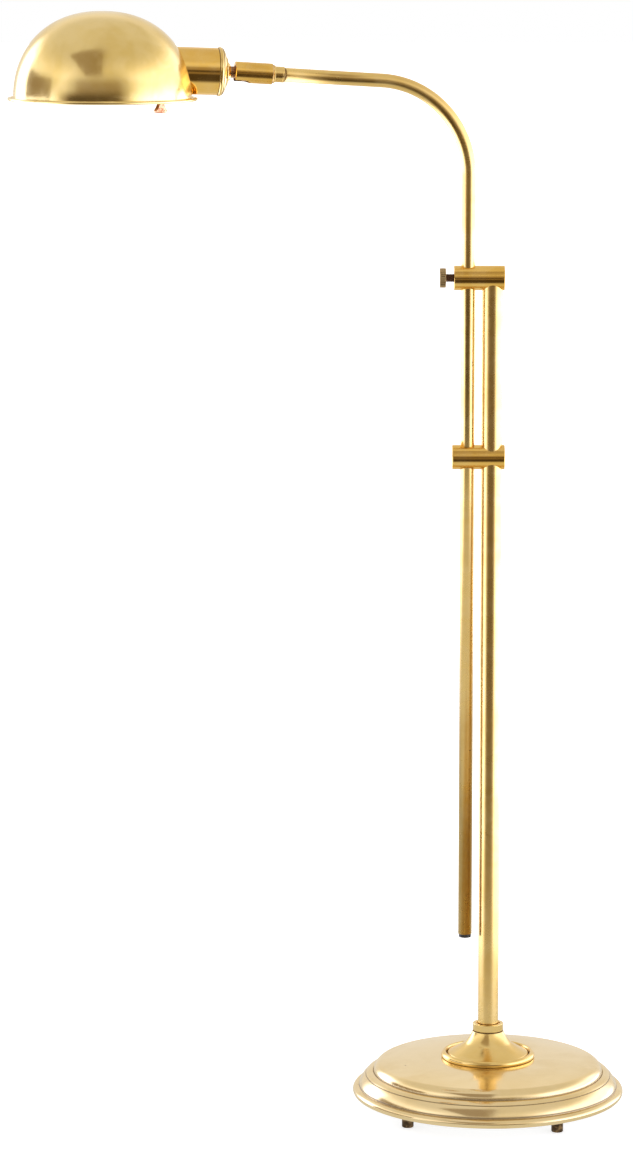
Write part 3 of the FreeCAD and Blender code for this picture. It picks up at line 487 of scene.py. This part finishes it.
# ---- base ---------------------------------------------------------------------------------------
def base_shell():
    """Spun cover: rolled lip, broad band, narrow step and low dome, parted by fine grooves."""
    foot, top, wide = span("base_shell", stand_frame)
    wall, bore = 1.5, 5.0
    grooves = [(wide - 5.9, 0.42), (wide - 12.2, 0.42), (wide - 19.3, 0.5)]
    outline = [
        (wide - 1.6, foot, 0.3),
        ((wide, foot + 3.2), (wide - 5.5, foot + 7.0, 0.15)),
        (wide - 6.2, foot + 7.25, 0.1),
        (wide - 5.6, foot + 7.6, 0.15),
        ((wide - 7.7, foot + 12.7), (wide - 11.8, foot + 17.8, 0.15)),
        (wide - 12.5, foot + 18.0, 0.1),
        (wide - 12.2, foot + 18.4, 0.1),
        ((wide - 14.9, foot + 20.3), (wide - 18.8, foot + 21.3, 0.15)),
        (wide - 19.4, foot + 20.9, 0.1),
        (wide - 19.5, foot + 21.9, 0.15),
        ((wide - 22.2, foot + 27.5), (wide - 28.0, foot + 30.2)),
        ((wide - 55.0, top - 1.1), (43.8, top)),
        (bore, top),
        (bore, top - wall),
        ((wide - 55.0, top - 1.1 - wall), (wide - 29.0, foot + 30.2 - wall)),
        ((wide - 23.5, foot + 26.5), (wide - 21.4, foot + 19.8)),
        (wide - 14.0, foot + 16.4),
        ((wide - 9.2, foot + 11.5), (wide - 7.7, foot + 7.0)),
        ((wide - wall, foot + 3.2), (wide - 1.6 - wall, foot, 0.3)),
    ]
    # the brass is painted darker along the fine grooves, as painted shade
    finish = brass("base_brass", stand_frame, PALE_GOLD, polish=0.12, toned=0.7, grooves=grooves)
    finish_piece(turned(outline, 192, 16), ["base_shell"], finish)


def base_bell():
    """Trumpet riser with a rounded ring and a channel round its foot."""
    foot, top, wide = span("base_bell", stand_frame)
    bore = 5.0
    outline = [
        (bore, foot),
        (wide - 0.8, foot, 0.3),
        ((wide, foot + 2.6), (wide - 1.6, foot + 5.1)),
        ((wide - 2.9, foot + 5.7), (wide - 4.2, foot + 5.1)),
        (wide - 5.3, foot + 2.0, 0.3),
        (wide - 6.6, foot + 4.6, 0.4),
        ((wide - 15.5, foot + 9.2), (wide - 22.2, foot + 13.6)),
        ((wide - 26.6, foot + 19.4), (wide - 29.4, top, 0.25)),
        (bore, top),
    ]
    # painted shade in the channel round the ring, and at the joins above and below the bell
    finish = brass("bell_brass", stand_frame, WARM_GOLD, polish=0.18, toned=0.8,
                   grooves=[(wide - 5.4, 1.1)], gaps=[(top + 0.2, 0.7), (foot + 0.1, 0.5)])
    finish_piece(turned(outline, 160, 14), ["base_bell"], finish)


def pole_collar():
    """Turned collar with a recess round the pole and a narrow gap under it."""
    foot, top, wide = span("pole_collar", stand_frame)
    pole, bore, gap = 9.525, 5.0, 0.8
    outline = [
        (bore, foot),
        (wide - 1.65, foot),
        (wide - 1.65, foot + gap),
        (wide, foot + gap, 0.35),
        (wide, top, 0.55),
        (wide - 3.05, top, 0.35),
        (wide - 3.05, top - 2.2),
        (pole, top - 2.2),
        (pole, foot + 1.2),
        (bore, foot + 1.2),
    ]
    # painted shade in the recess round the pole and in the gap under the collar
    finish = brass("collar_brass", stand_frame, grooves=[(pole + 0.6, 1.0)], gaps=[(foot + gap / 2, 0.6)])
    finish_piece(turned(outline, 96), ["pole_collar"], finish)


def feet():
    """Stub feet turned from dark bronze, with a softened foot and a faint waist line."""
    for node in ("foot_front_left", "foot_front_right", "foot_rear_right", "foot_rear_left"):
        centre = middle(node)
        place = Matrix.Translation((centre.x, centre.y, 0))
        bottom, top, wide = span(node, place)
        outline = [
            (0.0, bottom),
            (wide, bottom, 1.1),
            (wide, top - 4.0, 0.1),
            (wide - 0.25, top - 3.7, 0.1),
            (wide, top - 3.4, 0.1),
            (wide, top, 0.2),
            (0.0, top),
        ]
        finish_piece(turned(outline, 64), [node], finish_of["dark_brass"], place)


def fixed_pole():
    """Drawn tube, deburred at both ends."""
    bottom, top, wide = span("fixed_pole", stand_frame)
    wall = 1.3
    outline = [
        (wide, bottom, 0.2),
        (wide, top, 0.3),
        (wide - wall, top, 0.3),
        (wide - wall, bottom, 0.2),
    ]
    finish = brass("pole_brass", stand_frame, grain="drawn", polish=0.25)
    finish_piece(turned(outline, 96), ["fixed_pole"], finish)


# ---- sliding tube -------------------------------------------------------------------------------
def drawn_out(shape, edges, travel):
    """Carry a ring of edges along a line, leaving a wall behind it."""
    made = bmesh.ops.extrude_edge_only(shape, edges=edges)["geom"]
    verts = [item for item in made if isinstance(item, bmesh.types.BMVert)]
    bmesh.ops.translate(shape, vec=travel, verts=verts)
    return [item for item in made if isinstance(item, bmesh.types.BMEdge)
            and all(vert in verts for vert in item.verts)]


def sliding_tube():
    """One length of tube: up through the blocks, round the bend and out along the arm."""
    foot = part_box("sliding_pole")[0].z
    bend_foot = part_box("arm_tube")[0].z
    radius = span("sliding_pole", slide_frame)[2] * MM
    level = math.hypot(arm_axis.x, arm_axis.y)
    outwards = Vector((arm_axis.x, arm_axis.y, 0)) / level
    rise = math.atan2(arm_axis.z, level)
    reach = (ball - slide_foot).xy.length
    bend = (ball.z - bend_foot - reach * math.tan(rise)) / (1 / math.cos(rise) - math.tan(rise))
    shape = bmesh.new()
    low = slide_foot + Vector((0, 0, foot))
    bmesh.ops.create_circle(shape, segments=64, radius=radius, matrix=Matrix.Translation(low))
    ring = drawn_out(shape, shape.edges[:], Vector((0, 0, bend_foot - foot)))
    centre = slide_foot + outwards * bend + Vector((0, 0, bend_foot))
    verts = list({vert for edge in ring for vert in edge.verts})
    last = bmesh.ops.spin(shape, geom=verts + ring, cent=centre, axis=AXIS_Z.cross(outwards),
                          angle=math.pi / 2 - rise, steps=64)["geom_last"]
    ring = [item for item in last if isinstance(item, bmesh.types.BMEdge)]
    bend_end = centre + (AXIS_Z * math.cos(rise) - outwards * math.sin(rise)) * bend
    tube_end = arm_frame @ Vector((0, 0, span("arm_collar", arm_frame)[1] * MM))
    drawn_out(shape, ring, tube_end - bend_end)
    bmesh.ops.remove_doubles(shape, verts=shape.verts, dist=0.000001)
    bmesh.ops.recalc_face_normals(shape, faces=shape.faces)
    piece = finish_piece(shape, ["sliding_pole", "arm_tube"], tube_brass, unit=1.0)
    wall = piece.modifiers.new("wall", "SOLIDIFY")
    wall.thickness = 1.0 * MM
    wall.offset = -1.0


def pole_end_bush():
    """Black bush with a rounded mouth for the lead."""
    bottom, top, wide = span("pole_end_bush", slide_frame)
    bore, shank, shown = 3.5, 5.3, 3.35
    outline = [
        (bore, bottom, 0.7),
        (wide, bottom, 0.9),
        (wide, bottom + shown, 0.1),
        (shank, bottom + shown),
        (shank, top, 0.2),
        (bore, top, 0.2),
    ]
    finish_piece(turned(outline, 64), ["pole_end_bush"], finish_of["black_plastic"], slide_frame)


# ---- arm end and swivel -------------------------------------------------------------------------
def arm_collar():
    """Sleeve on the arm's end, with one fine turned line."""
    start, end, wide = span("arm_collar", arm_frame)
    bore = 6.36
    outline = [
        (bore, start),
        (wide, start, 0.45),
        (wide, start + 1.5, 0.08),
        (wide - 0.14, start + 1.65, 0.05),
        (wide, start + 1.8, 0.08),
        (wide, end, 0.15),
        (bore, end),
    ]
    # painted shade at the join where the collar starts
    finish = brass("arm_collar_brass", arm_frame, polish=0.15, toned=1.0, gaps=[(start, 0.35)])
    finish_piece(turned(outline, 96), ["arm_collar"], finish, arm_frame)


def swivel_washer():
    """Thin bright washer with rounded edges."""
    start, end, wide = span("swivel_washer", arm_frame)
    bore = 4.6
    outline = [
        (bore, start),
        (wide, start, 0.3),
        (wide, end, 0.3),
        (bore, end),
    ]
    finish = brass("washer_brass", arm_frame, polish=0.08, toned=0.2)
    finish_piece(turned(outline, 96), ["swivel_washer"], finish, arm_frame)


def swivel_ball():
    """Ball, neck with one fine turned line, and the stem that carries the head."""
    start, end, wide = span("swivel_ball", neck_frame)
    neck, stem, bore, shoulder = 5.2, 4.8, 2.8, 13.4
    ball_end = math.sqrt(wide ** 2 - neck ** 2)
    outline = [
        (bore, start),
        ((wide, 0.0), (neck, ball_end, 0.3)),
        (neck, shoulder - 3.6, 0.08),
        (neck - 0.2, shoulder - 3.4, 0.05),
        (neck, shoulder - 3.2, 0.08),
        (neck, shoulder, 0.15),
        (stem, shoulder),
        (stem, end, 0.2),
        (bore, end),
    ]
    finish = coppery_brass("neck_bronze", neck_frame, colour(0.26, 0.12, 0.05), colour(0.66, 0.42, 0.20))
    finish_piece(turned(outline, 96, 24), ["swivel_ball"], finish, neck_frame)


# ---- head ---------------------------------------------------------------------------------------
def neck_washer():
    """Dished washer with a softly rounded rim."""
    start, end, wide = span("neck_washer", neck_frame)
    bore = 4.85
    outline = [
        (bore, start),
        (wide - 5.7, start, 0.3),
        (wide - 4.1, start + 2.0, 0.5),
        (wide, end - 1.4, 0.5),
        (wide, end, 0.35),
        (bore, end),
    ]
    # painted shade at the join at the washer's outer end
    finish = brass("neck_washer_brass", neck_frame, toned=0.9, gaps=[(end, 0.35)])
    finish_piece(turned(outline, 96), ["neck_washer"], finish, neck_frame)


def cup_cap():
    """Domed cap with a rolled bead round its edge."""
    start, end, wide = span("cup_cap", neck_frame)
    bore, wall = 4.85, 1.0
    outline = [
        (bore, start),
        (wide - 8.6, start, 0.4),
        ((wide - 4.0, start + 1.0), (wide - 0.9, start + 3.1, 0.25)),
        (wide - 1.1, start + 3.55, 0.15),
        ((wide, start + 5.2), (wide - 0.7, end, 0.2)),
        (wide - 0.7 - wall, end),
        (wide - 0.8 - wall, start + 3.7),
        ((wide - 4.0 - wall, start + 1.0 + wall), (wide - 9.1, start + wall)),
        (bore, start + wall),
    ]
    # painted shade in the groove by the bead and at the join with the cup
    finish = brass("cap_brass", neck_frame, toned=0.8, grooves=[(wide - 0.95, 0.35)],
                   gaps=[(end + 0.1, 0.45)])
    finish_piece(turned(outline, 128), ["cup_cap"], finish, neck_frame)


def cup():
    """Socket cup with a rounded rim, and painted shade where it meets the cap."""
    start, end, wide = span("cup", neck_frame)
    wall = 1.0
    outline = [
        (wide - wall, start),
        (wide, start, 0.25),
        (wide, end, 0.25),
        (wide - wall, end, 0.2),
    ]
    # painted shade at the join with the cap
    finish = brass("cup_brass", neck_frame, RICH_GOLD, polish=0.11, toned=0.9, gaps=[(start - 0.1, 0.55)])
    finish_piece(turned(outline, 128), ["cup"], finish, neck_frame)


def bulb_glass():
    """Thin blown envelope with a round nose."""
    start, end, wide = span("bulb_glass", neck_frame)
    wall, neck, flare, drop = 0.8, 11.54, 14.8, 9.0
    centre = end - wide
    shoulder = math.sqrt(wide ** 2 - drop ** 2)
    cheek = wide * math.sqrt(0.5)
    inner_cheek = (wide - wall) * math.sqrt(0.5)
    outline = [
        (neck - wall, start),
        (neck, start, 0.2),
        (neck, start + 6.0),
        ((flare, start + 18.0), (shoulder, centre - drop)),
        ((cheek, centre + cheek), (0.0, end)),
        (0.0, end - wall),
        ((inner_cheek, centre + inner_cheek), (shoulder - wall, centre - drop)),
        ((flare - wall, start + 18.0), (neck - wall, start + 6.0)),
    ]
    finish_piece(turned(outline, 96, 20), ["bulb_glass"], finish_of["frosted_glass"], neck_frame)


def switch_key():
    """Flared key with dished faces and softened edges."""
    top, bottom, wide = span("switch_key", key_frame)
    half, thick, waist = wide - 0.35, 3.4, 2.6
    outline = [
        (-waist, top),
        (waist, top, 0.4),
        ((waist + 0.5, top + 9.0), (half, bottom - 2.2, 0.5)),
        (half - 0.9, bottom - 0.45, 0.5),
        ((0.0, bottom), (0.9 - half, bottom - 0.45, 0.5)),
        (-half, bottom - 2.2, 0.5),
        ((-waist - 0.5, top + 9.0), (-waist, top, 0.4)),
    ]
    shape = bmesh.new()
    corners = corners_of(outline, 8)[:-1]
    verts = [shape.verts.new((across, -thick / 2, down)) for across, down, *_ in corners]
    face = shape.faces.new(verts)
    made = bmesh.ops.extrude_face_region(shape, geom=[face])["geom"]
    moved = [item for item in made if isinstance(item, bmesh.types.BMVert)]
    bmesh.ops.translate(shape, vec=(0, thick, 0), verts=moved)
    broad = [side for side in shape.faces if len(side.verts) > 4]
    rims = [edge for side in broad for edge in side.edges]
    bmesh.ops.bevel(shape, geom=rims, offset=0.45, offset_type="OFFSET", segments=3, profile=0.5,
                    affect="EDGES", clamp_overlap=True, material=-1)
    broad = [side for side in shape.faces if len(side.verts) > 8]
    bmesh.ops.inset_region(shape, faces=broad, thickness=0.7, depth=-0.45, use_even_offset=True)
    bmesh.ops.recalc_face_normals(shape, faces=shape.faces)
    blade_turn = Matrix.Rotation(blade_angle(), 4, "Z")
    bmesh.ops.transform(shape, matrix=blade_turn, verts=shape.verts)
    finish_piece(shape, ["switch_key"], finish_of["copper_brown"], key_frame, sharp=50.0)


def blade_angle():
    """Turn of the key's blade about its shaft at rest, from the way its CAD piece is spread."""
    inverse = key_frame.inverted()
    corners = [inverse @ vertex.co for vertex in frame["nodes"]["switch_key"].data.vertices]
    broad = sum(complex(corner.x, corner.y) ** 2 for corner in corners)
    return cmath.phase(broad) / 2


# ---- clamp --------------------------------------------------------------------------------------
def clamp_screw():
    """Thumbscrew: ringed shank and a straight-knurled head with a dished face."""
    start, end, wide = span("clamp_screw", clamp_frame)
    head, shank, pitch, depth = 5.6, 3.8, 1.25, 0.45
    teeth, facets_per_tooth, knurl = 30, 6, 0.5
    outline = [(0.0, start), (shank - 0.6, start)]
    height = start + 0.6
    while height + pitch < end - head:
        outline += [(shank, height, 0.15), (shank - depth, height + pitch / 2, 0.15)]
        height += pitch
    outline += [
        (shank, end - head - 0.2),
        (wide, end - head, 0.45),
        (wide, end, 0.45),
        (wide - 3.0, end, 0.4),
        (wide - 3.6, end - 0.5, 0.3),
        (0.0, end - 0.5),
    ]
    shape = turned(outline, teeth * facets_per_tooth, 8)
    for vert in shape.verts:
        radius = vert.co.xy.length
        if radius > wide - 1.6 and vert.co.z > end - head - 0.1:
            tooth = 0.5 - 0.5 * math.cos(teeth * math.atan2(vert.co.y, vert.co.x))
            vert.co.xy *= 1 - knurl * tooth / radius
    # the shank is painted dark from its tip up to the head
    dark_shank = (shank + 0.6, start - 1.0, end - head)
    finish = brass("thumbscrew_brass", clamp_frame, AGED_GOLD, polish=0.24, hollow=dark_shank)
    finish_piece(shape, ["clamp_screw"], finish, clamp_frame, sharp=50.0)


for make in (base_shell, base_bell, pole_collar, feet, fixed_pole, sliding_tube, pole_end_bush,
             arm_collar, swivel_washer, swivel_ball, neck_washer, cup_cap, cup, bulb_glass, switch_key,
             clamp_screw):
    make()


# ---- floor, light and camera --------------------------------------------------------------------
def disc(name, radius, height):
    """Flat round sheet that belongs to the studio, not to the lamp."""
    shape = bmesh.new()
    bmesh.ops.create_circle(shape, cap_ends=True, radius=radius, segments=96)
    bmesh.ops.translate(shape, vec=(0, 0, height), verts=shape.verts)
    mesh = bpy.data.meshes.new(name)
    shape.to_mesh(mesh)
    shape.free()
    sheet = bpy.data.objects.new(name, mesh)
    bpy.context.scene.collection.objects.link(sheet)
    return sheet


def floor():
    """Wide white floor under the lamp, kept out of the brass's reflections."""
    sheet = disc("floor", 60.0, 0.0)
    material = bpy.data.materials.new("white_floor")
    recipe = Recipe(material)
    fleck = recipe.noise(recipe.place(), scale=3.0)
    base = recipe.colours(fleck, colour(0.93, 0.93, 0.93), colour(0.95, 0.95, 0.95))
    recipe.surface(**{"Base Color": base, "Roughness": 0.8, "Emission Color": base,
                      "Emission Strength": 0.7})
    sheet.data.materials.append(material)
    sheet.visible_glossy = False


def paper():
    """Lit paper on the floor round the base, seen only in the brass, fading out with distance."""
    near, far, glow = 0.5, 1.0, 0.78
    sheet = disc("paper", 1.2, -0.001)
    material = bpy.data.materials.new("lit_paper")
    recipe = Recipe(material)
    x, y, _ = recipe.split(recipe.place())
    fade = ((x * x + y * y) ** 0.5).step(near, far)
    bright = recipe.node("ShaderNodeEmission", {}, {"Color": colour(1.0, 0.99, 0.96), "Strength": glow})
    clear = recipe.node("ShaderNodeBsdfTransparent", {}, {"Color": colour(1.0, 1.0, 1.0)})
    both = recipe.node("ShaderNodeMixShader", {}, {0: fade, 1: bright, 2: clear})
    recipe.node("ShaderNodeOutputMaterial", {}, {"Surface": both})
    sheet.data.materials.append(material)
    for kind in ("camera", "diffuse", "transmission", "volume_scatter", "shadow"):
        setattr(sheet, "visible_" + kind, False)


def studio():
    """Bright walls at both sides, a calm ceiling and a dark opening in front.

    turn is the angle round the room from straight in front, rightwards, and rise the angle above
    eye level, both in degrees.
    """
    world = bpy.data.worlds.new("studio")
    bpy.context.scene.world = world
    recipe = Recipe(world)
    towards = recipe.node("ShaderNodeTexCoord", output="Generated")
    x, y, z = recipe.split(towards)
    front = 0 - y
    turn = x.math("ARCTAN2", x, front) * math.degrees(1)
    rise = z.math("ARCSINE", z) * math.degrees(1)
    # walls at both sides, brighter below eye level than above it
    raised = rise.step(0.0, 9.0)
    right = turn.step(20.0, 66.0) * recipe.level(raised, 3.2, 1.45)
    far_left = 1 - turn.step(-122.0, -112.0)
    left_low = (1 - turn.step(-86.0, -38.0)) * 3.2
    left_high = (1 - turn.step(-56.0, -22.0)) * recipe.level(far_left, 0.8, 2.6)
    left = recipe.level(raised, left_low, left_high)
    gloom = recipe.level(rise.step(1.0, 10.0), 0.08, 0.42) + rise.step(15.0, 26.0) * 0.35
    gloom = gloom + rise.band(-8.5, 8.0) * 0.24
    around = gloom + left + right
    card = turn.between(-113.0, -69.0, 2.5) * rise.between(0.0, 17.0, 2.0)
    around = recipe.level(card, around, 0.36)
    around = recipe.level(abs(turn).step(136.0, 152.0), around, 0.9)
    # the ceiling, with one dim panel that tapers when it is seen from below
    high = z.math("MAXIMUM", z, 0.02)
    panel = (x / high).between(-0.72, 0.06, 0.05) * (front / high).between(0.5, 2.0, 0.1)
    ceiling = recipe.level(rise.step(30.0, 50.0), 1.0, 0.8)
    light = recipe.level(rise.step(16.0, 38.0), around, ceiling)
    light = recipe.level(panel * rise.step(22.0, 28.0), light, 0.4)
    light = recipe.level(1 - rise.step(-72.0, -52.0), light, 0.75)
    # dim light is warm, and the brightest a little blue
    tint = recipe.colours(light.step(0.1, 0.8), colour(1.0, 0.74, 0.46), colour(1.0, 0.96, 0.9))
    tint = recipe.colours(light.step(0.9, 2.2), tint, colour(0.95, 1.0, 1.3))
    seen = recipe.node("ShaderNodeLightPath", output="Is Camera Ray")
    tint = recipe.colours(seen, tint, colour(1.0, 1.0, 1.0))
    strength = recipe.level(seen, light, 1.0)
    sky = recipe.node("ShaderNodeBackground", {}, {"Color": tint, "Strength": strength})
    recipe.node("ShaderNodeOutputWorld", {}, {"Surface": sky})


def camera():
    """Level with the top of the arm, looking a little down, with a long lens."""
    lens = bpy.data.cameras.new("camera")
    lens.lens = 128.24
    lens.sensor_width = 36.0
    lens.clip_end = 500.0
    view = bpy.data.objects.new("camera", lens)
    downwards = 8.35
    view.location = (-0.1612, -3.7522, 1.0589)
    view.rotation_euler = (math.radians(90 - downwards), 0.0, 0.0)
    bpy.context.scene.collection.objects.link(view)
    bpy.context.scene.camera = view


floor()
paper()
studio()
camera()
bpy.context.scene.view_settings.view_transform = "Standard"
